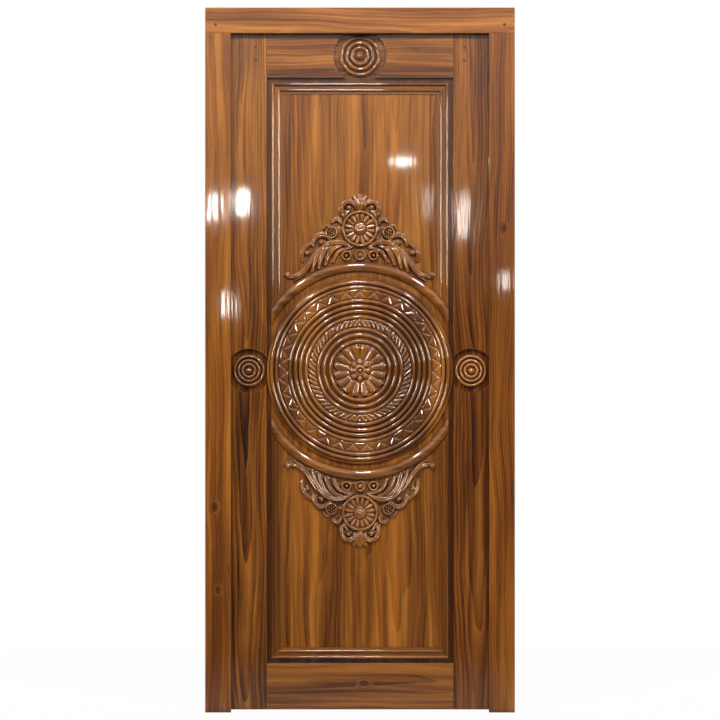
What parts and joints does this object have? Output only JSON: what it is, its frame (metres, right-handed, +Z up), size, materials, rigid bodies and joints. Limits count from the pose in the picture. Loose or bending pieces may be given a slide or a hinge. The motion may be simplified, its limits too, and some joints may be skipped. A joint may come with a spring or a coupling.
{
  "type": "carved panel door",
  "caption": "Carved wooden panel door hung in a plain rebated frame, with a round medallion, leaf crests and turned rosettes; it swings on butt hinges.",
  "frame": {"origin": "on the floor, midway between the jambs and in the middle of the frame's depth", "axes": "+X to the right seen from the carved face, +Y from the carved face to the back, +Z up"},
  "size_m": [0.94, 0.0753, 2.14],
  "materials": {
    "frame_wood": "varnished teak, lighter",
    "leaf_wood": "varnished teak",
    "board_wood": "varnished teak boards",
    "carved_wood": "varnished carved teak with dark glaze in the hollows",
    "peg_wood": "end grain, dark",
    "hinge_brass": "satin brass"
  },
  "bodies": {
    "door_frame": {"left_jamb": "frame_wood", "right_jamb": "frame_wood", "frame_head": "frame_wood", "frame_pegs": "peg_wood", "hinge_frame_plate_1": "hinge_brass", "hinge_frame_plate_2": "hinge_brass", "hinge_frame_plate_3": "hinge_brass", "hinge_pin_1": "hinge_brass", "hinge_pin_2": "hinge_brass", "hinge_pin_3": "hinge_brass", "frame_screws": "hinge_brass"},
    "door_leaf": {"left_stile": "leaf_wood", "right_stile": "leaf_wood", "top_rail": "leaf_wood", "bottom_rail": "leaf_wood", "leaf_pegs": "peg_wood", "board_1": "board_wood", "board_2": "board_wood", "board_3": "board_wood", "board_4": "board_wood", "board_5": "board_wood", "board_6": "board_wood", "board_7": "board_wood", "upper_left_moulding": "leaf_wood", "upper_right_moulding": "leaf_wood", "top_moulding": "leaf_wood", "upper_arch": "leaf_wood", "lower_left_moulding": "leaf_wood", "lower_right_moulding": "leaf_wood", "bottom_moulding": "leaf_wood", "lower_arch": "leaf_wood", "medallion": "carved_wood", "upper_crest": "carved_wood", "lower_crest": "carved_wood", "top_rosette": "carved_wood", "left_rosette": "carved_wood", "right_rosette": "carved_wood", "back_left_moulding": "leaf_wood", "back_right_moulding": "leaf_wood", "back_top_moulding": "leaf_wood", "back_bottom_moulding": "leaf_wood", "hinge_leaf_plate_1": "hinge_brass", "hinge_leaf_plate_2": "hinge_brass", "hinge_leaf_plate_3": "hinge_brass", "leaf_screws": "hinge_brass"}
  },
  "joints": [
    {"name": "leaf_swing", "type": "hinge", "parent": "door_frame", "child": "door_leaf", "pos_m": [-0.4055, 0.0378, 1], "axis": [0, 0, 1], "range_deg": [0, 110]}
  ]
}
